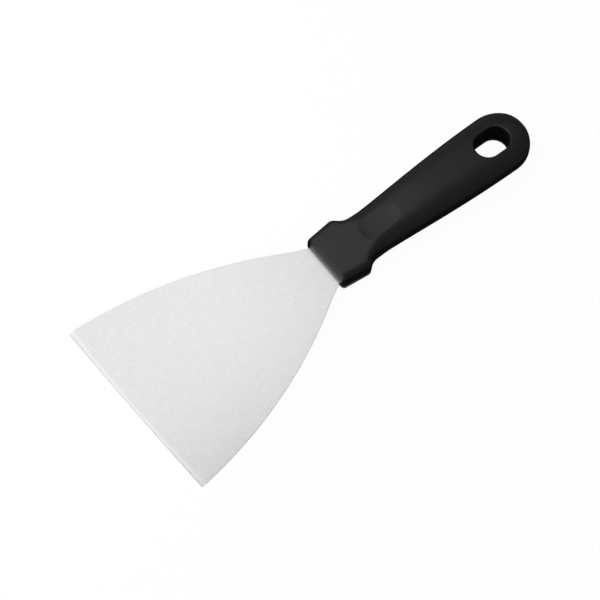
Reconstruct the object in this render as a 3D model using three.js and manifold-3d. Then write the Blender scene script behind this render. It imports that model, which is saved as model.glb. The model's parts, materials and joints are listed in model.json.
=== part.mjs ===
// A triangular spatula: one flat steel blank, blade and tang, held in a moulded plastic handle.
// Sizes are in millimetres. The tool is drawn with the blade's centre line along X, its cutting
// edge parallel to Y, its middle plane at z = 0 and the handle's front face at x = 0. It is then
// laid down the way it rests on a table, on its cutting edge and its bolster, with +Z up.

import * as THREE from 'three';
import { ParametricGeometry } from 'three/addons/geometries/ParametricGeometry.js';
import { mergeVertices } from 'three/addons/utils/BufferGeometryUtils.js';
import Module from 'manifold-3d';

const wasm = await Module();
wasm.setup();

// Blade
const bladeWidth = 110; // along the cutting edge
const bladeLength = 128; // from the cutting edge to the handle's front face
const bladeThickness = 1;
const sideBulge = 7; // how far each long side bows out from a straight line
const cornerRound = 0.8; // rounding of the two cutting corners
const bevelWidth = 2.6; // ground strip along the cutting edge, on the upper face
const edgeThickness = 0.35; // steel left at the very edge
const neckFlare = 12; // length of the hollow curve between the long sides and the handle
const neckFlareWidth = 37.6; // blade width where that curve starts

// Tang, the part of the blank inside the handle
const neckRim = 3; // plastic beside the blade where it enters the bolster
const tangWidth = 16;
const tangTaper = 14; // length over which the neck narrows to the tang
const tangCornerRound = 3;
const tangToSlot = 9; // plastic between the tang's end and the hang slot
const lockHoleDiameter = 7; // holes that the plastic fills to lock the tang
const firstLockHole = 32; // from the handle's front face
const lockHoleSpacing = 28;
const mouldClearance = 0.3; // between the plastic and the steel

// Handle
const handleTurn = -2.2; // degrees that the handle sits off the blade's centre line
const handleLength = 136;
const bolsterFrontWidth = 31.7;
const bolsterRearWidth = 35.4;
const bolsterLength = 17.2;
const bolsterThickness = 13.8;
const bolsterSquareness = 6; // section: 2 is an ellipse, higher is nearer a rectangle
const frontCorner = 3.2; // rounding of the bolster's front corners, seen from above
const noseDepth = 2.5; // how far back its front is rounded over, seen from the side
const noseFlat = 6; // height of the flat front that is left around the blade
const earRound = 1.6; // rounding of the bolster's rear corners
const shoulderAngle = 41; // degrees, slope from the bolster down to the waist
const shoulderFillet = 3.2; // length of the hollow fillet, measured each way from its corner
const waistWidth = 26.2;
const waistRun = 17; // stretch over which the waist stays narrow
const bellyRun = 38; // stretch over which the sides level out before the round end
const endWidth = 35.4;
const bodySquareness = 2.6;
const crownThickness = 17.4;
const crownPlace = 74; // where the handle is thickest, from its front face
const endThickness = 17; // where the round end starts to close
const endRound = 8; // rounding of the end, seen from the side

// Hang slot and thumb hollows
const slotLength = 20.8;
const slotWidth = 15;
const slotToEnd = 11.8; // plastic behind the slot
const thumbLength = 24;
const thumbWidth = 11.8;
const thumbDepth = 0.3; // of its floor, below the rim at its two long sides
const thumbPlace = 36.7; // hollow's centre, from the handle's front face
const thumbRise = 3; // how far the hollowing ball's centre stands above the crown

// Fineness of the facets
const facetsAround = 40;
const facetsPerCurve = 8;
const overcut = 2; // how far a cutting body runs past what it cuts

const steel = new THREE.MeshStandardMaterial({ color: 0xd9dadb, roughness: 0.34, metalness: 1 });
const plastic = new THREE.MeshStandardMaterial({ color: 0x1b1b1c, roughness: 0.55, metalness: 0 });

// A closed geometry as a solid that can be joined and cut.
function solidOf(geometry) {
  const plain = geometry.clone();
  plain.deleteAttribute('normal');
  plain.deleteAttribute('uv');
  const welded = mergeVertices(plain);
  const corners = welded.index.array;
  const triangles = [];
  for (let i = 0; i < corners.length; i += 3) {
    const [a, b, c] = corners.slice(i, i + 3);
    if (a !== b && b !== c && c !== a) triangles.push(a, b, c);
  }
  return new wasm.Manifold(new wasm.Mesh({
    numProp: 3,
    vertProperties: welded.attributes.position.array,
    triVerts: new Uint32Array(triangles),
  }));
}

// A finished solid as a geometry.
function geometryOf(solid) {
  const { vertProperties, triVerts } = solid.getMesh();
  const geometry = new THREE.BufferGeometry();
  geometry.setAttribute('position', new THREE.BufferAttribute(vertProperties, 3));
  geometry.setIndex(new THREE.BufferAttribute(triVerts, 1));
  geometry.computeVertexNormals();
  return geometry;
}

// A flat shape as a plate of the given thickness, half above and half below z = 0.
function plate(shape, thickness) {
  const settings = { depth: thickness, bevelEnabled: false, curveSegments: facetsPerCurve };
  return new THREE.ExtrudeGeometry(shape, settings).translate(0, 0, -thickness / 2);
}

// The slot's middle and the tang's end follow from the handle's length.
const slotPlace = handleLength - slotToEnd - slotLength / 2;
const tangLength = slotPlace - slotLength / 2 - tangToSlot;

// One half of the blank's outline, from the cutting edge to the tang's end, grown by a clearance.
function halfBlank(grow) {
  const edge = new THREE.Vector2(-bladeLength, bladeWidth / 2 + grow);
  const flare = new THREE.Vector2(-neckFlare, neckFlareWidth / 2 + grow);
  const neck = new THREE.Vector2(0, bolsterFrontWidth / 2 - neckRim + grow);
  const tangSide = tangWidth / 2 + grow;
  const tangEnd = tangLength + grow;

  // A quadratic curve bows by half its control point's distance from the chord.
  const chord = flare.clone().sub(edge);
  const outward = new THREE.Vector2(-chord.y, chord.x).normalize();
  const bulge = edge.clone().add(flare).multiplyScalar(0.5).addScaledVector(outward, 2 * sideBulge);
  const alongSide = bulge.clone().sub(edge).normalize().multiplyScalar(cornerRound).add(edge);
  const intoNeck = flare.clone().sub(bulge).normalize().multiplyScalar(neckFlare / 2).add(flare);

  const half = new THREE.Path();
  half.moveTo(edge.x, edge.y - cornerRound);
  half.quadraticCurveTo(edge.x, edge.y, alongSide.x, alongSide.y);
  half.quadraticCurveTo(bulge.x, bulge.y, flare.x, flare.y);
  half.quadraticCurveTo(intoNeck.x, intoNeck.y, neck.x, neck.y);
  half.lineTo(tangTaper, tangSide);
  half.lineTo(tangEnd - tangCornerRound, tangSide);
  half.quadraticCurveTo(tangEnd, tangSide, tangEnd, tangSide - tangCornerRound);
  return half.getPoints(facetsPerCurve);
}

// The whole blank with its lock holes. A clearance grows its outline and shrinks the holes.
function blankShape(grow) {
  const upper = halfBlank(grow);
  const lower = upper.map((point) => new THREE.Vector2(point.x, -point.y)).reverse();
  const shape = new THREE.Shape([...upper, ...lower]);
  for (const place of [firstLockHole, firstLockHole + lockHoleSpacing]) {
    const hole = new THREE.Path();
    hole.absarc(place, 0, lockHoleDiameter / 2 - grow, 0, 2 * Math.PI);
    shape.holes.push(hole);
  }
  return shape;
}

// The wedge that the grinding of the cutting edge takes off the blade's upper face.
function bevelWedge() {
  const slope = (bladeThickness - edgeThickness) / bevelWidth;
  const front = -bladeLength - overcut;
  const back = -bladeLength + bevelWidth + overcut;
  const top = bladeThickness / 2 + slope * overcut;
  const bottom = edgeThickness - bladeThickness / 2 - slope * overcut;
  const wedge = new THREE.Shape();
  wedge.moveTo(front, bottom);
  wedge.lineTo(back, top);
  wedge.lineTo(front, top);
  return plate(wedge, bladeWidth + 2 * overcut).rotateX(Math.PI / 2);
}

function makeBlade() {
  const blank = solidOf(plate(blankShape(0), bladeThickness));
  return geometryOf(blank.subtract(solidOf(bevelWedge())));
}

// One half of the handle's outline seen from above, from the front face to the round end.
function handleOutline() {
  const frontSide = bolsterFrontWidth / 2;
  const rearSide = bolsterRearWidth / 2;
  const waist = waistWidth / 2;
  const endRadius = endWidth / 2;
  const endCentre = handleLength - endRadius;
  const slope = THREE.MathUtils.degToRad(shoulderAngle);
  const flare = (rearSide - frontSide) / bolsterLength;
  const waistCorner = bolsterLength + (rearSide - waist) / Math.tan(slope);
  const waistStart = waistCorner + shoulderFillet;

  const outline = new THREE.Path();
  outline.moveTo(0, 0);
  outline.lineTo(0, frontSide - frontCorner);
  outline.quadraticCurveTo(0, frontSide, frontCorner, frontSide + flare * frontCorner);
  outline.lineTo(bolsterLength - earRound, rearSide - flare * earRound);
  outline.quadraticCurveTo(
    bolsterLength, rearSide,
    bolsterLength + earRound * Math.cos(slope), rearSide - earRound * Math.sin(slope),
  );
  outline.lineTo(
    waistCorner - shoulderFillet * Math.cos(slope), waist + shoulderFillet * Math.sin(slope),
  );
  outline.quadraticCurveTo(waistCorner, waist, waistStart, waist);
  outline.bezierCurveTo(
    waistStart + waistRun, waist,
    endCentre - bellyRun, endRadius,
    endCentre, endRadius,
  );
  outline.absarc(endCentre, 0, endRadius, Math.PI / 2, 0, true);
  return outline.getPoints(facetsPerCurve);
}

// Half the handle's thickness at a distance from its front face.
function halfThickness(x) {
  const { smoothstep, clamp, lerp } = THREE.MathUtils;
  const rise = smoothstep(x, bolsterLength, crownPlace);
  const fall = smoothstep(x, crownPlace, handleLength - endRound);
  const crown = lerp(bolsterThickness, crownThickness, rise);
  const level = (crown - (crownThickness - endThickness) * fall) / 2;
  const intoFront = clamp(1 - x / noseDepth, 0, 1);
  const intoEnd = clamp(1 - (handleLength - x) / endRound, 0, 1);
  const closing = (1 - intoEnd ** bodySquareness) ** (1 / bodySquareness);
  return lerp(noseFlat / 2, level * closing, Math.sqrt(1 - intoFront ** 2));
}

// The section's squareness changes from the bolster's to the body's over the shoulder.
function squareness(x) {
  const change = THREE.MathUtils.smoothstep(x, bolsterLength, bolsterLength + waistRun);
  return THREE.MathUtils.lerp(bolsterSquareness, bodySquareness, change);
}

// The handle's skin: a rounded section carried along the outline.
function handleSkin() {
  const outline = handleOutline();
  const last = outline.length - 1;
  const signedPower = (value, power) => Math.sign(value) * Math.abs(value) ** power;
  const skin = (around, along, point) => {
    const { x, y: halfWidth } = outline[Math.round(along * last)];
    const power = 2 / squareness(x);
    const angle = 2 * Math.PI * (around + 0.5 / facetsAround);
    const side = halfWidth * signedPower(Math.cos(angle), power);
    const height = halfThickness(x) * signedPower(Math.sin(angle), power);
    point.set(x, side, height);
  };
  return new ParametricGeometry(skin, facetsAround, last);
}

// The long hole that the tool hangs on.
function hangSlot() {
  const radius = slotWidth / 2;
  const reach = slotLength / 2 - radius;
  const slot = new THREE.Shape();
  slot.absarc(reach, 0, radius, -Math.PI / 2, Math.PI / 2);
  slot.absarc(-reach, 0, radius, Math.PI / 2, 1.5 * Math.PI);
  return plate(slot, crownThickness + 2 * overcut).translate(slotPlace, 0, 0);
}

// An oval ball that hollows out the thumb rest on one face (side is 1 above, -1 below). The skin is
// crowned, so the ball meets it lower along the hollow's sides than at its two ends.
function thumbHollow(side) {
  const crown = halfThickness(thumbPlace);
  const reach = thumbWidth / waistWidth;
  const sideDrop = crown * (1 - (1 - reach ** bodySquareness) ** (1 / bodySquareness));
  const ballHeight = thumbRise + sideDrop + thumbDepth;
  const spread = (rise) => 1 / Math.sqrt(1 - (rise / ballHeight) ** 2);
  const halfLength = (thumbLength / 2) * spread(thumbRise);
  const halfBreadth = (thumbWidth / 2) * spread(thumbRise + sideDrop);
  const ball = new THREE.SphereGeometry(1, facetsAround, facetsAround);
  ball.rotateX(Math.PI / 2);
  ball.scale(halfLength, halfBreadth, ballHeight);
  return ball.translate(thumbPlace, 0, side * (crown + thumbRise));
}

// The room that the blank takes up inside the plastic, with the plugs left in its lock holes.
function tangPocket() {
  const room = plate(blankShape(mouldClearance), bladeThickness + 2 * mouldClearance);
  return room.rotateZ(-THREE.MathUtils.degToRad(handleTurn));
}

function makeHandle() {
  const cuts = [hangSlot(), thumbHollow(1), thumbHollow(-1), tangPocket()];
  let handle = solidOf(handleSkin());
  for (const cut of cuts) handle = handle.subtract(solidOf(cut));
  return geometryOf(handle);
}

const blade = new THREE.Mesh(makeBlade(), steel);
blade.name = 'blade';

const handle = new THREE.Mesh(makeHandle(), plastic);
handle.name = 'handle';
handle.rotation.z = THREE.MathUtils.degToRad(handleTurn);

// The table touches the underside of the cutting edge and the lowest line of the handle, so the
// tool tips by the steepest angle from that edge to any point of the handle.
function restAngle() {
  handle.updateMatrixWorld(true);
  const corners = handle.geometry.attributes.position;
  const point = new THREE.Vector3();
  let steepest = 0;
  for (let i = 0; i < corners.count; i += 1) {
    point.fromBufferAttribute(corners, i).applyMatrix4(handle.matrixWorld);
    const drop = -bladeThickness / 2 - point.z;
    steepest = Math.max(steepest, Math.atan2(drop, point.x + bladeLength));
  }
  return steepest;
}

const tool = new THREE.Group();
tool.rotation.y = -restAngle();
tool.add(blade, handle);

// The origin is on the table, under the middle of the tool.
const box = new THREE.Box3().setFromObject(tool, true);
const middle = box.getCenter(new THREE.Vector3());
tool.position.set(-middle.x, -middle.y, -box.min.z);

const spatula = new THREE.Group();
spatula.add(tool);

export default spatula;
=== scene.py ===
import json
import math

import bmesh
import bpy
from mathutils import Matrix, Vector


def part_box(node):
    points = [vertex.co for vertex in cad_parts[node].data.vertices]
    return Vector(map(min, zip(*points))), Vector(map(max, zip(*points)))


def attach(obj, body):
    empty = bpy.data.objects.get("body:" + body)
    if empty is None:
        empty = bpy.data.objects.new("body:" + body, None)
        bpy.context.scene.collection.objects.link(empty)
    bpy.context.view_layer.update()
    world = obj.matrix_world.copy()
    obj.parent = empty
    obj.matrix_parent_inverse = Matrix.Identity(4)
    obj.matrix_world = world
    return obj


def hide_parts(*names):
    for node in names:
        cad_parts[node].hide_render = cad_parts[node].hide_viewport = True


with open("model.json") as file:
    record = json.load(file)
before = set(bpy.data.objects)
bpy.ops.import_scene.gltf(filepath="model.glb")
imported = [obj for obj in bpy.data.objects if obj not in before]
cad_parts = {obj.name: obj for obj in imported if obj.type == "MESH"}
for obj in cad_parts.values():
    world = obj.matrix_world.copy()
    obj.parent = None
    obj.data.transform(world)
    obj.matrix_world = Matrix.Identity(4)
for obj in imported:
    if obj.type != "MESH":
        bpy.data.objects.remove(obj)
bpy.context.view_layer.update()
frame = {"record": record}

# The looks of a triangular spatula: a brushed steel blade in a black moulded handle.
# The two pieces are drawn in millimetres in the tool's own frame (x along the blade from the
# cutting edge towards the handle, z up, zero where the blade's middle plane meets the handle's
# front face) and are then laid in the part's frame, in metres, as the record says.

MM = 0.001

# Blade sizes, in millimetres
BLADE_WIDTH = 110  # along the cutting edge
BLADE_LENGTH = 128  # from the cutting edge to the handle's front face
BLADE_THICKNESS = 1
SIDE_BULGE = 7  # how far each long side bows out from a straight line
CORNER_ROUND = 0.8  # rounding of the two cutting corners
SHEET_ROUND = 0.14  # rounding of the sheet's edges
SHEAR_SLOPE = 0.15  # how far its sheared sides slope in towards the underside
EDGE_BOW = 0.5  # how far the cutting edge's corners stand back from its middle
EDGE_THICKNESS = 0.35  # steel left at the very edge
BEVEL_WIDTH_MIDDLE = 1.9
BEVEL_WIDTH_CORNER = 3.1
BRUSH_TURN = 7  # degrees between the brushing and the blade's centre line
NECK_FLARE = 12  # length of the hollow curve between the long sides and the handle
NECK_FLARE_WIDTH = 37.6  # blade width where that curve starts
NECK_RIM = 3  # plastic beside the blade where it enters the bolster
TANG_WIDTH = 16
TANG_TAPER = 14  # length over which the neck narrows to the tang
TANG_ROUND = 3
TANG_TO_SLOT = 9  # plastic between the tang's end and the hang slot
LOCK_HOLE = 7
LOCK_HOLES_AT = (32, 60)  # from the handle's front face

# Handle sizes, in millimetres
HANDLE_TURN = -2.2  # degrees off the blade's centre line
HANDLE_LENGTH = 135.98  # like the next two thicknesses, a hair less than the solid's, to stay in its box
CROWN_THICKNESS = 17.35
END_THICKNESS = 16.95  # where the round end starts to close
CROWN_PLACE = 74  # where the handle is thickest, from its front face
END_WIDTH = 35.4
END_ROUND = 8  # rounding of the end, seen from the side
BODY_SQUARENESS = 2.6  # of its section; 2 is an ellipse, higher is nearer a rectangle
BOLSTER_FRONT = 31.7
BOLSTER_REAR = 35.4
BOLSTER_LENGTH = 17.2
BOLSTER_THICKNESS = 13.8
BOLSTER_SQUARENESS = 10  # across its section, in the same measure as the body's
BOLSTER_EDGE = 3  # and up its section, for the rounding of its long edges
FRONT_CORNER = 1.9  # rounding of its front corners, seen from above, crisper than the solid's
NOSE_DEPTH = 2.5  # how far back its front is rounded over, seen from the side
NOSE_FLAT = 6  # height of the flat front that is left around the blade
EAR_ROUND = 1.6  # rounding of the bolster's rear corners
SHOULDER_ANGLE = 41  # degrees, slope from the bolster down to the waist
SHOULDER_FILLET = 3.2  # length of the hollow fillet, measured each way from its corner
WAIST_WIDTH = 26.2
WAIST_RUN = 17  # stretch over which the waist stays narrow
BELLY_RUN = 38  # stretch over which the sides level out before the round end
SLOT_LENGTH = 20.8
SLOT_WIDTH = 15
SLOT_TO_END = 11.8  # plastic behind the slot
SLOT_LIP = 1.0  # rounding of the slot's rim
SLOT_LIP_START = 30  # degrees, slope at which that rounding leaves the skin
THUMB_LENGTH = 24
THUMB_WIDTH = 11.8
THUMB_DEPTH = 0.3  # of its floor, below the rim at its two long sides
THUMB_STEP = 0.2  # the part of that depth that falls away close to its two ends
THUMB_STEP_POWER = 8  # how close to them: 2 is an even dish, higher is nearer a step
THUMB_PLACE = 36.7  # hollow's centre, from the handle's front face
THUMB_RIM = 0.06  # how softly the skin turns down into it
MOULD_GAP = 0.05  # between the plastic and the steel

SLOT_PLACE = HANDLE_LENGTH - SLOT_TO_END - SLOT_LENGTH / 2
TANG_LENGTH = SLOT_PLACE - SLOT_LENGTH / 2 - TANG_TO_SLOT

# Meshes
AROUND = 200  # points around the handle
TRACE_FINENESS = 4  # times as many trace the section that they are picked from
SLOT_STEPS = 33  # along each round end of the slot: odd, so that no corner is on the centre line
OVERCUT = 2  # how far a cutting body runs past what it cuts
SAME_POINT = 0.0001  # corners that are closer than this are joined
BLADE_SHARP_ANGLE = 8  # degrees; an edge that turns by more stays crisp
HANDLE_SHARP_ANGLE = 40

# Finishes: lengths in metres, tones and roughness from 0 to 1, spots of a noise to the metre
NOISE_SPAN = (0.3, 0.7)  # where nearly all of a noise lies
SOFT_DETAIL = 2
FINE_DETAIL = 3
BRUSH_STROKE = (0.005, 0.0008)  # length and width of the strokes in the steel's tone
BRUSH_HAIRLINE = (0.003, 0.00025)  # and of those in its roughness and relief
GRIND_STROKE = (0.0025, 0.0005)
STEEL_SPOTS = 900
STEEL_TONE = (0.735, 0.815)
STEEL_ROUGHNESS = (0.30, 0.38)
STEEL_RELIEF = {"Strength": 0.2, "Distance": 0.00002}
# Painted highlight: the bevel strip's tone, lighter than the blade's face
BEVEL_HIGHLIGHT_TONE = (0.83, 0.88)
# Painted shade: a darker line along the very edge, whose width a noise varies
EDGE_SHADE_TONE = 0.62
# Painted shade: a darker line along the bevel's crease
CREASE_SHADE_TONE = 0.68
CREASE_SHADE_SPAN = (0.94, 1.2)  # where the crease's painted shade line sets in, as shares of the bevel's width
EDGE_SHADE_START = 0.1  # share of the bevel's width that is painted dark at the edge, as shade
EDGE_SHADE_REACH = (0.3, 0.6)  # share where that painted shade ends, from its narrowest to its widest places
EDGE_SHADE_SPOTS = 260
EDGE_SHADE_SPAN = (0.5, 0.75)  # of that noise, from the narrowest to the widest places of the painted edge shade
PLASTIC_TONE = (0.005, 0.0065)
PLASTIC_ROUGHNESS = (0.30, 0.38)
PLASTIC_RELIEF = {"Strength": 0.3, "Distance": 0.00004}
PLASTIC_GRAIN = 1900
PLASTIC_CLOUDS = 160

# Table and surround: lengths in metres, and a strength of 1 is plain white
WHITE = (1, 1, 1, 1)
TABLE_HALF = 15
# Dark grey, so that in reflections between the two glows the table reads as painted shade; the camera
# sees it white by its own light
TABLE_COLOUR = (0.06, 0.06, 0.06, 1)
TABLE_SEEN = 0.958  # its own light for the camera, to which the lamps add a little
CONTACT_GLOW = 0.6  # painted light: its glow in reflections just under the part, which fades out over a span
CONTACT_SPAN = (0.003, 0.008)
FAR_GLOW = 0.8  # its light in reflections further off, which comes in over a span; between the two spans reflections show painted shade
FAR_SPAN = (0.1, 0.8)
SKY_LIGHT = 0.3
SKY_MIRRORED = (0.16, 0.25)  # in reflections, at the horizon and overhead

# Softboxes: metres, and a brightness of 1 looks plain white. The first two overlap and hang at
# different heights, because lamps in exactly the same plane don't add up.
SOFTBOXES = {
    "overhead_softbox": {
        "place": (-0.4975, 0.165, 0.28), "aim": (-0.4975, 0.165, 0),
        "across": 1.205, "deep": 0.32, "brightness": 0.51},
    "wide_softbox": {
        "place": (-0.445, 0.165, 0.29), "aim": (-0.445, 0.165, 0),
        "across": 1.31, "deep": 0.32, "brightness": 0.37},
    "side_softbox": {
        "place": (-1.1, 0.3, 0.3), "aim": (0, 0.3, 0.3),
        "across": 1.2, "deep": 0.6, "brightness": 1.1},
    "neck_softbox": {
        "place": (0.01, 0.1, 0.275), "aim": (0.01, 0.1, 0),
        "across": 0.1, "deep": 0.16, "brightness": 0.1},
    "far_softbox": {
        "place": (0, 1, 0.35), "aim": (0, 0, 0.35),
        "across": 1.6, "deep": 0.6, "brightness": 0.15},
    "near_softbox": {
        "place": (-0.65, -0.6, 0.6), "aim": (-0.05, 0, 0),
        "across": 1.1, "deep": 0.7, "brightness": 0.4},
}

# Photo and camera: millimetres and degrees, apart from the pixels
PHOTO_SIDE = 600  # pixels
PIXELS_PER_MM = 1.9
ORIGIN_PIXEL = (324.65, 265.32)  # where the middle of the blade meets the handle in the photo
VIEW_AZIMUTH = -41.91  # this and the next two are angles in the tool's own frame
VIEW_ROLL = 1.78
VIEW_ELEVATION = 64.45
VIEW_DISTANCE = 1200
SENSOR = 36


def tool_matrix():
    """The tool's frame in the part's frame: the blade's upper face gives the tilt, its box the place."""
    mounts = {mount["name"]: mount for mount in frame["record"]["mounts"]}
    up = Vector(mounts["blade_face"]["axis"]).normalized()
    along = Vector((up.z, 0, -up.x))
    across = up.cross(along)
    low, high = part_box("blade")
    edge = Vector((-BLADE_LENGTH, 0, EDGE_THICKNESS - BLADE_THICKNESS / 2)) * MM
    heel = Vector((-BLADE_LENGTH, 0, -BLADE_THICKNESS / 2)) * MM
    turn = Matrix((along, across, up)).transposed()
    origin = Vector((low.x - (turn @ edge).x, (low.y + high.y) / 2, low.z - (turn @ heel).z))
    return Matrix.Translation(origin) @ turn.to_4x4()


TOOL = tool_matrix()


# Shape helpers

def smoothstep(value, low, high):
    """A share that rises from 0 to 1 between two values, and leaves and arrives level."""
    share = min(max((value - low) / (high - low), 0), 1)
    return share * share * (3 - 2 * share)


def bezier(corners, steps):
    """Points along a Bezier curve of any degree, without its first point."""
    curve = []
    for step in range(1, steps + 1):
        row = [Vector(corner) for corner in corners]
        while len(row) > 1:
            row = [a.lerp(b, step / steps) for a, b in zip(row, row[1:])]
        curve.append(row[0])
    return curve


def arc(centre, radius, start, end, steps):
    """Points along an arc from one angle to another, in degrees."""
    angles = [math.radians(start + (end - start) * step / steps) for step in range(steps + 1)]
    return [Vector(centre) + radius * Vector((math.cos(a), math.sin(a))) for a in angles]


def inset(outline, distance):
    """A closed outline, drawn anticlockwise, moved inwards by a distance."""
    moved = []
    for before, point, after in zip(outline[-1:] + outline[:-1], outline, outline[1:] + outline[:1]):
        ahead = (after - point).normalized() + (point - before).normalized()
        inward = Vector((-ahead.y, ahead.x)).normalized()
        moved.append(point + inward * distance)
    return moved


def lifted(outline, height):
    """A flat outline at a height."""
    return [point.to_3d() + Vector((0, 0, height)) for point in outline]


def evenly_spaced(trace, count):
    """Points at equal distances along a closed trace, whose last point is its first one again."""
    lengths = [0]
    for before, after in zip(trace, trace[1:]):
        lengths.append(lengths[-1] + (after - before).length)
    points = []
    place = 0
    for step in range(count):
        wanted = lengths[-1] * step / count
        while lengths[place + 1] < wanted:
            place += 1
        span = lengths[place + 1] - lengths[place]
        share = (wanted - lengths[place]) / span if span else 0
        points.append(trace[place].lerp(trace[place + 1], share))
    return points


def loft(name, rings):
    """A closed body: rings of points joined in order, with the first and last ring filled in."""
    mesh = bmesh.new()
    rows = [[mesh.verts.new(point) for point in ring] for ring in rings]
    for row, following in zip(rows, rows[1:]):
        for i in range(len(row)):
            j = (i + 1) % len(row)
            mesh.faces.new((row[i], row[j], following[j], following[i]))
    mesh.faces.new(rows[0][::-1])
    mesh.faces.new(rows[-1])
    bmesh.ops.remove_doubles(mesh, verts=mesh.verts, dist=SAME_POINT)
    bmesh.ops.recalc_face_normals(mesh, faces=mesh.faces)
    data = bpy.data.meshes.new(name)
    mesh.to_mesh(data)
    mesh.free()
    piece = bpy.data.objects.new(name, data)
    bpy.context.scene.collection.objects.link(piece)
    return piece


def cut(piece, cutters):
    """Takes the cutters out of a piece, for good."""
    for cutter in cutters:
        boolean = piece.modifiers.new(cutter.name, "BOOLEAN")
        boolean.operation = "DIFFERENCE"
        boolean.solver = "EXACT"
        boolean.object = cutter
    result = piece.evaluated_get(bpy.context.evaluated_depsgraph_get())
    old = piece.data
    piece.data = bpy.data.meshes.new_from_object(result)
    piece.data.name = piece.name
    piece.modifiers.clear()
    bpy.data.meshes.remove(old)
    for cutter in cutters:
        bpy.data.objects.remove(cutter)


# Blade

def half_blank(grow):
    """Half of the steel blank's outline, from the middle of the cutting edge to the tang's end."""
    edge = Vector((-BLADE_LENGTH + EDGE_BOW, BLADE_WIDTH / 2 + grow))
    flare = Vector((-NECK_FLARE, NECK_FLARE_WIDTH / 2 + grow))
    neck = Vector((0, BOLSTER_FRONT / 2 - NECK_RIM + grow))
    tang_side = TANG_WIDTH / 2 + grow
    tang_end = TANG_LENGTH + grow
    chord = (flare - edge).normalized()
    bulge = (edge + flare) / 2 + 2 * SIDE_BULGE * Vector((-chord.y, chord.x))
    corner = edge + CORNER_ROUND * (bulge - edge).normalized()
    into_neck = flare + NECK_FLARE / 2 * (flare - bulge).normalized()
    before_corner = Vector((edge.x, edge.y - CORNER_ROUND))

    half = [Vector((-BLADE_LENGTH, 0))]
    half += bezier([half[-1], (-BLADE_LENGTH, BLADE_WIDTH / 4), before_corner], steps=100)
    half += bezier([half[-1], edge, corner], steps=8)
    half += bezier([half[-1], bulge, flare], steps=80)
    half += bezier([half[-1], into_neck, neck], steps=16)
    half += bezier([half[-1], (TANG_TAPER, tang_side)], steps=4)
    half += bezier([half[-1], (tang_end - TANG_ROUND, tang_side)], steps=4)
    half += bezier([half[-1], (tang_end, tang_side), (tang_end, tang_side - TANG_ROUND)], steps=8)
    return half


def sheet(name, outline, thickness):
    """A sheet with its edges rounded over and its sides sloping in, half above and half below z = 0."""
    steps = 4
    angles = [math.pi / 2 * step / steps for step in range(steps + 1)]
    rounding = [(SHEET_ROUND * (1 - math.sin(a)), SHEET_ROUND * (1 - math.cos(a))) for a in angles]
    rings = []
    for inward, depth in rounding:
        rings.append(lifted(inset(outline, SHEAR_SLOPE + inward), depth - thickness / 2))
    for inward, depth in rounding[::-1]:
        rings.append(lifted(inset(outline, inward), thickness / 2 - depth))
    return loft(name, rings)


def lock_hole(place, grow):
    """What a hole through the tang takes out of the sheet."""
    ring = arc((place, 0), LOCK_HOLE / 2 - grow, 0, 360, steps=48)[:-1]
    reach = BLADE_THICKNESS + OVERCUT
    return loft("lock_hole", [lifted(ring, -reach), lifted(ring, reach)])


def blank(name, grow):
    """The steel blank with its lock holes; a clearance grows the outline and shrinks the holes."""
    upper = half_blank(grow)
    lower = [Vector((p.x, -p.y)) for p in upper[:0:-1]]
    outline = (upper + lower)[::-1]
    steel_sheet = sheet(name, outline, BLADE_THICKNESS + 2 * grow)
    cut(steel_sheet, [lock_hole(place, grow) for place in LOCK_HOLES_AT])
    return steel_sheet


def bevel_span(y):
    """Where the ground bevel starts and how wide it is, at a distance from the blade's middle."""
    share = y / (BLADE_WIDTH / 2)
    edge = -BLADE_LENGTH + EDGE_BOW * share ** 2
    width = BEVEL_WIDTH_MIDDLE + (BEVEL_WIDTH_CORNER - BEVEL_WIDTH_MIDDLE) * share ** 2
    return edge, width


def grinding_wedge():
    """What the grinding of the cutting edge takes off the blade's upper face."""
    top = BLADE_THICKNESS / 2
    foot = EDGE_THICKNESS - top
    sections = []
    steps = 120
    for step in range(steps + 1):
        y = (2 * step / steps - 1) * (BLADE_WIDTH / 2 + OVERCUT)
        edge, width = bevel_span(y)
        rise = (top - foot) / width * OVERCUT
        front = edge - OVERCUT
        back = edge + width + OVERCUT
        corners = ((front, foot - rise), (back, top + rise), (front, top + rise))
        sections.append([Vector((x, y, z)) for x, z in corners])
    return loft("grinding_wedge", sections)


def mark_bevel(mesh):
    """Gives the bevel's faces the second finish, and a place across the bevel from 0 to 1."""
    slope = (BLADE_THICKNESS - EDGE_THICKNESS) / BEVEL_WIDTH_CORNER
    across = mesh.uv_layers.new(name="across_bevel")
    for face in mesh.polygons:
        leans_forward = -face.normal.x > slope / 2
        faces_up = face.normal.z > 0.5
        face.material_index = int(leans_forward and faces_up)
        for loop in face.loop_indices:
            point = mesh.vertices[mesh.loops[loop].vertex_index].co
            edge, width = bevel_span(point.y)
            across.data[loop].uv = ((point.x - edge) / width, point.y * MM)


def make_blade():
    """The blade and its tang, ground at the cutting edge."""
    blade = blank("steel_blade", grow=0)
    cut(blade, [grinding_wedge()])
    mark_bevel(blade.data)
    return blade


# Handle

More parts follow.
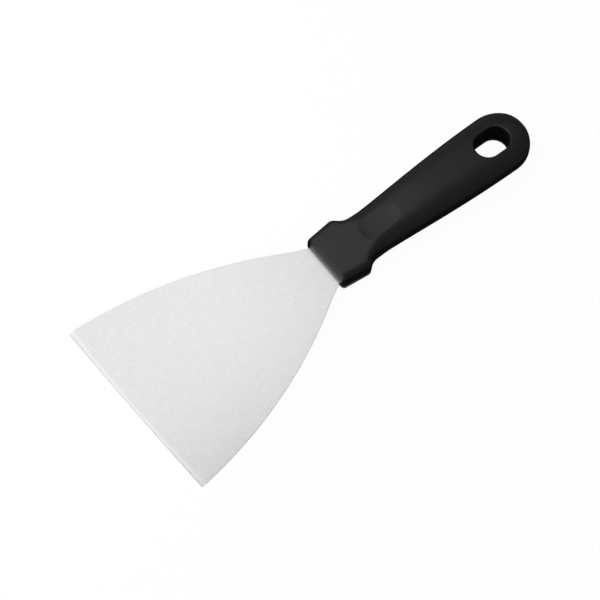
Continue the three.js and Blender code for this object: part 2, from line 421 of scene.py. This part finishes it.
def handle_outline():
    """Half of the handle's outline from above, from the front face to the round end."""
    front = BOLSTER_FRONT / 2
    rear = BOLSTER_REAR / 2
    waist = WAIST_WIDTH / 2
    end_radius = END_WIDTH / 2
    end_centre = HANDLE_LENGTH - end_radius
    slope = math.radians(SHOULDER_ANGLE)
    flare = (rear - front) / BOLSTER_LENGTH
    downhill = Vector((math.cos(slope), -math.sin(slope)))
    ear = Vector((BOLSTER_LENGTH, rear))
    waist_corner = Vector((BOLSTER_LENGTH + (rear - waist) / math.tan(slope), waist))
    waist_start = waist_corner + Vector((SHOULDER_FILLET, 0))

    half = [Vector((0, front - FRONT_CORNER))]
    half += bezier([half[-1], (0, front), (FRONT_CORNER, front + flare * FRONT_CORNER)], steps=20)
    half += bezier([half[-1], ear - EAR_ROUND * Vector((1, flare))], steps=26)
    half += bezier([half[-1], ear, ear + EAR_ROUND * downhill], steps=10)
    half += bezier([half[-1], waist_corner - SHOULDER_FILLET * downhill], steps=4)
    half += bezier([half[-1], waist_corner, waist_start], steps=12)
    half += bezier([half[-1], (waist_start.x + WAIST_RUN, waist),
                    (end_centre - BELLY_RUN, end_radius), (end_centre, end_radius)], steps=190)
    half += arc((end_centre, 0), end_radius, 90, 0, steps=60)[1:]
    return half


HANDLE_OUTLINE = handle_outline()


def half_width(x):
    """Half the handle's width at a distance from its front face."""
    for before, after in zip(HANDLE_OUTLINE, HANDLE_OUTLINE[1:]):
        if before.x <= x <= after.x and after.x > before.x:
            return before.lerp(after, (x - before.x) / (after.x - before.x)).y
    return 0


def half_thickness(x):
    """Half the handle's thickness at a distance from its front face."""
    rise = smoothstep(x, BOLSTER_LENGTH, CROWN_PLACE)
    fall = smoothstep(x, CROWN_PLACE, HANDLE_LENGTH - END_ROUND)
    crown = BOLSTER_THICKNESS + (CROWN_THICKNESS - BOLSTER_THICKNESS) * rise
    level = (crown - (CROWN_THICKNESS - END_THICKNESS) * fall) / 2
    into_front = min(max(1 - x / NOSE_DEPTH, 0), 1)
    into_end = min(max(1 - (HANDLE_LENGTH - x) / END_ROUND, 0), 1)
    closing = (1 - into_end ** BODY_SQUARENESS) ** (1 / BODY_SQUARENESS)
    nose = NOSE_FLAT / 2
    return nose + (level * closing - nose) * math.sqrt(1 - into_front ** 2)


def section_powers(x):
    """How square the section is across and upwards, from the bolster's block to the oval body."""
    change = smoothstep(x, BOLSTER_LENGTH, BOLSTER_LENGTH + WAIST_RUN)
    block = Vector((BOLSTER_SQUARENESS, BOLSTER_EDGE))
    return block.lerp(Vector((BODY_SQUARENESS, BODY_SQUARENESS)), change)


def surface_height(x, y):
    """Height of the handle's skin above its middle plane, without the hollows."""
    across, upward = section_powers(x)
    share = min(abs(y) / half_width(x), 1)
    return half_thickness(x) * (1 - share ** across) ** (1 / upward)


THUMB_SIDE_DROP = half_thickness(THUMB_PLACE) - surface_height(THUMB_PLACE, THUMB_WIDTH / 2)


def thumb_floor(x, y):
    """Height of the thumb hollow's dished floor; beyond the hollow it lies above the skin."""
    along = (x - THUMB_PLACE) / (THUMB_LENGTH / 2)
    across = y / (THUMB_WIDTH / 2)
    dish = (THUMB_SIDE_DROP + THUMB_DEPTH - THUMB_STEP) * (1 - along ** 2)
    step = THUMB_STEP * (1 - along ** THUMB_STEP_POWER)
    return half_thickness(x) - dish - step + THUMB_DEPTH * across ** 2


def hollowed(x, y, z):
    """A point's height on the skin, cut down to the floor of the thumb hollow with a soft rim."""
    skin = abs(z)
    floor = thumb_floor(x, y)
    lower = (skin + floor - math.hypot(skin - floor, THUMB_RIM)) / 2
    return math.copysign(lower, z) if skin > THUMB_RIM else z


def section(x, wide):
    """A ring of points evenly spaced around the handle's section."""
    across, upward = section_powers(x)
    thick = half_thickness(x)
    trace_steps = TRACE_FINENESS * AROUND
    trace = []
    for step in range(trace_steps + 1):
        angle = 2 * math.pi * step / trace_steps
        cosine = math.cos(angle)
        sine = math.sin(angle)
        y = math.copysign(wide * abs(cosine) ** (2 / across), cosine)
        z = math.copysign(thick * abs(sine) ** (2 / upward), sine)
        trace.append(Vector((y, z)))
    return [Vector((x, y, hollowed(x, y, z))) for y, z in evenly_spaced(trace, AROUND)]


def hang_slot():
    """The long hole that the tool hangs on, flared at both rims so that they come out rounded."""
    radius = SLOT_WIDTH / 2
    reach = SLOT_LENGTH / 2 - radius
    steps = 8
    lip_turn = 90 - SLOT_LIP_START
    lip = [math.radians(SLOT_LIP_START + lip_turn * step / steps) for step in range(steps + 1)]
    profile = [(SLOT_LIP * (1 - math.sin(a)), SLOT_LIP * (1 - math.cos(a))) for a in lip]
    flare = OVERCUT / math.tan(lip[0])
    profile = [(profile[0][0] + flare, profile[0][1] - OVERCUT)] + profile

    def outline(offset):
        ring = arc((SLOT_PLACE + reach, 0), radius + offset, -90, 90, SLOT_STEPS)
        return ring + arc((SLOT_PLACE - reach, 0), radius + offset, 90, 270, SLOT_STEPS)

    def rim(side):
        rings = [lifted(outline(profile[0][0]), side * CROWN_THICKNESS)]
        for offset, depth in profile:
            edge = outline(offset)
            rings.append([Vector((p.x, p.y, side * (surface_height(p.x, p.y) - depth))) for p in edge])
        return rings

    return loft("hang_slot", rim(1) + rim(-1)[::-1])


def make_handle():
    """The moulding, with its slot and the room for the steel, turned off the blade's centre line."""
    rings = [section(point.x, point.y) for point in HANDLE_OUTLINE]
    handle = loft("moulded_handle", rings)
    pocket = blank("tang_pocket", grow=MOULD_GAP)
    pocket.data.transform(Matrix.Rotation(math.radians(-HANDLE_TURN), 4, "Z"))
    cut(handle, [hang_slot(), pocket])
    handle.data.transform(Matrix.Rotation(math.radians(HANDLE_TURN), 4, "Z"))
    return handle


# Shader helpers

def set_sockets(tree, node, sockets):
    """Links each of a node's sockets to another node's output, or sets it to a plain value."""
    for name, value in sockets.items():
        if isinstance(value, bpy.types.NodeSocket):
            tree.links.new(value, node.inputs[name])
        else:
            node.inputs[name].default_value = value


def add_node(tree, kind, sockets, **settings):
    """A shader node with its settings, and its sockets linked or set."""
    node = tree.nodes.new("ShaderNode" + kind)
    for name, value in settings.items():
        setattr(node, name, value)
    set_sockets(tree, node, sockets)
    return node


def new_material(name):
    """A material with its node tree and its main shader."""
    material = bpy.data.materials.new(name)
    material.use_nodes = True
    return material, material.node_tree, material.node_tree.nodes["Principled BSDF"]


def remap(tree, value, source, target):
    """A value carried over from one range to another, and held at that range's ends."""
    sockets = {"Value": value, "From Min": source[0], "From Max": source[1],
               "To Min": target[0], "To Max": target[1]}
    return add_node(tree, "MapRange", sockets).outputs["Result"]


def noise(tree, place, spots, detail):
    """Soft noise with about so many spots to each unit of length."""
    return add_node(tree, "TexNoise", {"Vector": place, "Scale": spots, "Detail": detail}).outputs["Fac"]


def streaks(tree, place, length, width):
    """Noise drawn out along the brushing into strokes of about this length and width, in metres."""
    turned = add_node(tree, "Mapping", {"Vector": place, "Rotation": (0, 0, -math.radians(BRUSH_TURN))})
    drawn = add_node(tree, "Mapping", {"Vector": turned.outputs["Vector"],
                                       "Scale": (1 / length, 1 / width, 1 / length)})
    return noise(tree, drawn.outputs["Vector"], spots=1, detail=FINE_DETAIL)


def relief(tree, height, bump):
    """A surface that a noise roughens a little."""
    return add_node(tree, "Bump", {"Height": height, **bump}).outputs["Normal"]


# Materials

def steel():
    """Satin stainless steel, brushed along the blade."""
    material, tree, shader = new_material("brushed_steel")
    place = add_node(tree, "TexCoord", {}).outputs["Object"]
    strokes = streaks(tree, place, *BRUSH_STROKE)
    hairlines = streaks(tree, place, *BRUSH_HAIRLINE)
    mottle = noise(tree, place, STEEL_SPOTS, SOFT_DETAIL)
    mixed = add_node(tree, "Mix", {"Factor": 0.5, "A": strokes, "B": mottle}).outputs["Result"]
    set_sockets(tree, shader, {
        "Metallic": 1,
        "Base Color": remap(tree, mixed, NOISE_SPAN, STEEL_TONE),
        "Roughness": remap(tree, hairlines, NOISE_SPAN, STEEL_ROUGHNESS),
        "Normal": relief(tree, hairlines, STEEL_RELIEF)})
    return material


def ground_steel_painted_light():
    """The bevel: grinding strokes, a painted highlight over the strip, a painted shade line at its
    crease and painted shade along the edge, whose width a noise varies.
    """
    material, tree, shader = new_material("ground_steel_painted_light")
    place = add_node(tree, "TexCoord", {}).outputs["Object"]
    uv = add_node(tree, "UVMap", {}, uv_map="across_bevel").outputs["UV"]
    across = add_node(tree, "SeparateXYZ", {"Vector": uv}).outputs["X"]
    strokes = streaks(tree, place, *GRIND_STROKE)
    # painted shade along the edge: a noise varies how far in it reaches
    edge_shade_noise = noise(tree, place, EDGE_SHADE_SPOTS, SOFT_DETAIL)
    edge_shade_end = remap(tree, edge_shade_noise, EDGE_SHADE_SPAN, EDGE_SHADE_REACH)
    # painted highlight over the bevel strip
    highlighted = remap(tree, strokes, NOISE_SPAN, BEVEL_HIGHLIGHT_TONE)
    edge_shaded = remap(tree, across, (EDGE_SHADE_START, edge_shade_end), (EDGE_SHADE_TONE, highlighted))
    set_sockets(tree, shader, {
        "Metallic": 1,
        # painted shade line along the crease
        "Base Color": remap(tree, across, CREASE_SHADE_SPAN, (edge_shaded, CREASE_SHADE_TONE)),
        "Roughness": remap(tree, strokes, NOISE_SPAN, STEEL_ROUGHNESS),
        "Normal": relief(tree, strokes, STEEL_RELIEF)})
    return material


def plastic():
    """Black moulded polypropylene with a fine matte grain."""
    material, tree, shader = new_material("matte_plastic")
    place = add_node(tree, "TexCoord", {}).outputs["Object"]
    grain = noise(tree, place, PLASTIC_GRAIN, FINE_DETAIL)
    clouds = noise(tree, place, PLASTIC_CLOUDS, SOFT_DETAIL)
    set_sockets(tree, shader, {
        "Base Color": remap(tree, clouds, NOISE_SPAN, PLASTIC_TONE),
        "Roughness": remap(tree, grain, NOISE_SPAN, PLASTIC_ROUGHNESS),
        "Normal": relief(tree, grain, PLASTIC_RELIEF)})
    return material


# Placing

def finish_piece(piece, node, materials, sharp_angle):
    """Lays a piece in the part's frame, dresses it and sets it in the place of its CAD node."""
    piece.data.transform(TOOL @ Matrix.Scale(MM, 4))
    for material in materials:
        piece.data.materials.append(material)
    piece.data.shade_smooth()
    piece.data.set_sharp_from_angle(angle=math.radians(sharp_angle))
    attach(piece, "root")
    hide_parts(node)


finish_piece(make_blade(), "blade", [steel(), ground_steel_painted_light()], BLADE_SHARP_ANGLE)
finish_piece(make_handle(), "handle", [plastic()], HANDLE_SHARP_ANGLE)


# Stage: a white table, a white surround, soft lamps and the photo's camera

def by_ray(tree, lighting, mirrored, seen):
    """One strength for the light that falls on things, one for reflections and one for the camera."""
    ray = add_node(tree, "LightPath", {}).outputs
    level = lighting
    kinds = ("Is Glossy Ray", mirrored), ("Is Transmission Ray", mirrored), ("Is Camera Ray", seen)
    for kind, strength in kinds:
        level = add_node(tree, "Mix", {"Factor": ray[kind], "A": level, "B": strength}).outputs["Result"]
    return level


def white_table():
    """White to the camera; in reflections pale far off, with a painted glow very close by and painted
    shade between.
    """
    material, tree, shader = new_material("white_table")
    distance = add_node(tree, "LightPath", {}).outputs["Ray Length"]
    close_by = remap(tree, distance, CONTACT_SPAN, (CONTACT_GLOW, 0))
    mirrored = remap(tree, distance, FAR_SPAN, (close_by, FAR_GLOW))
    set_sockets(tree, shader, {
        "Base Color": TABLE_COLOUR,
        "Specular IOR Level": 0,
        "Emission Color": WHITE,
        "Emission Strength": by_ray(tree, lighting=0, mirrored=mirrored, seen=TABLE_SEEN)})
    return material


def make_table():
    """A wide flat table under the part."""
    corners = [(x * TABLE_HALF, y * TABLE_HALF, 0) for x, y in ((-1, -1), (1, -1), (1, 1), (-1, 1))]
    mesh = bpy.data.meshes.new("table")
    mesh.from_pydata(corners, [], [(0, 1, 2, 3)])
    mesh.materials.append(white_table())
    table = bpy.data.objects.new("table", mesh)
    bpy.context.scene.collection.objects.link(table)


def make_world():
    """A surround that is white to the camera, and in reflections grows brighter overhead."""
    world = bpy.data.worlds.new("surround")
    world.use_nodes = True
    tree = world.node_tree
    direction = add_node(tree, "TexCoord", {}).outputs["Generated"]
    upward = add_node(tree, "SeparateXYZ", {"Vector": direction}).outputs["Z"]
    squared = add_node(tree, "Math", {0: upward, 1: 2}, operation="POWER").outputs["Value"]
    mirrored = remap(tree, squared, (0, 1), SKY_MIRRORED)
    set_sockets(tree, tree.nodes["Background"], {
        "Color": WHITE,
        "Strength": by_ray(tree, lighting=SKY_LIGHT, mirrored=mirrored, seen=1)})
    bpy.context.scene.world = world


def make_lamp(name, place, aim, across, deep, brightness):
    """A softbox at a place, facing another; its brightness is 1 where it looks plain white."""
    data = bpy.data.lights.new(name, "AREA")
    data.shape = "RECTANGLE"
    data.size = across
    data.size_y = deep
    data.energy = brightness * math.pi * across * deep
    lamp = bpy.data.objects.new(name, data)
    lamp.location = place
    lamp.visible_camera = False
    lamp.rotation_euler = (Vector(aim) - lamp.location).to_track_quat("-Z", "Y").to_euler()
    bpy.context.scene.collection.objects.link(lamp)


def make_camera():
    """The photo's camera: it looks past the tool, so that the tool lies where it does in the photo."""
    azimuth = math.radians(VIEW_AZIMUTH)
    elevation = math.radians(VIEW_ELEVATION)
    roll = math.radians(VIEW_ROLL)
    turn = TOOL.to_3x3()
    level = turn @ Vector((math.cos(azimuth), math.sin(azimuth), 0))
    forward = turn @ Vector((-math.sin(azimuth) * math.cos(elevation),
                             math.cos(azimuth) * math.cos(elevation), -math.sin(elevation)))
    right = math.cos(roll) * level + math.sin(roll) * level.cross(forward)
    up = right.cross(forward)
    aside = (PHOTO_SIDE / 2 - ORIGIN_PIXEL[0]) / PIXELS_PER_MM
    above = (ORIGIN_PIXEL[1] - PHOTO_SIDE / 2) / PIXELS_PER_MM
    eye = -VIEW_DISTANCE * forward
    look = (aside * right + above * up - eye).normalized()
    side = look.cross(up).normalized()
    data = bpy.data.cameras.new("photo_camera")
    data.sensor_width = SENSOR
    data.lens = SENSOR * PIXELS_PER_MM * VIEW_DISTANCE / PHOTO_SIDE
    camera = bpy.data.objects.new("photo_camera", data)
    pose = Matrix((side, side.cross(look), -look)).transposed().to_4x4()
    camera.matrix_world = Matrix.Translation(TOOL.translation + eye * MM) @ pose
    bpy.context.scene.collection.objects.link(camera)
    bpy.context.scene.camera = camera


make_table()
make_world()
for softbox, settings in SOFTBOXES.items():
    make_lamp(softbox, **settings)
make_camera()
bpy.context.scene.view_settings.view_transform = "Standard"
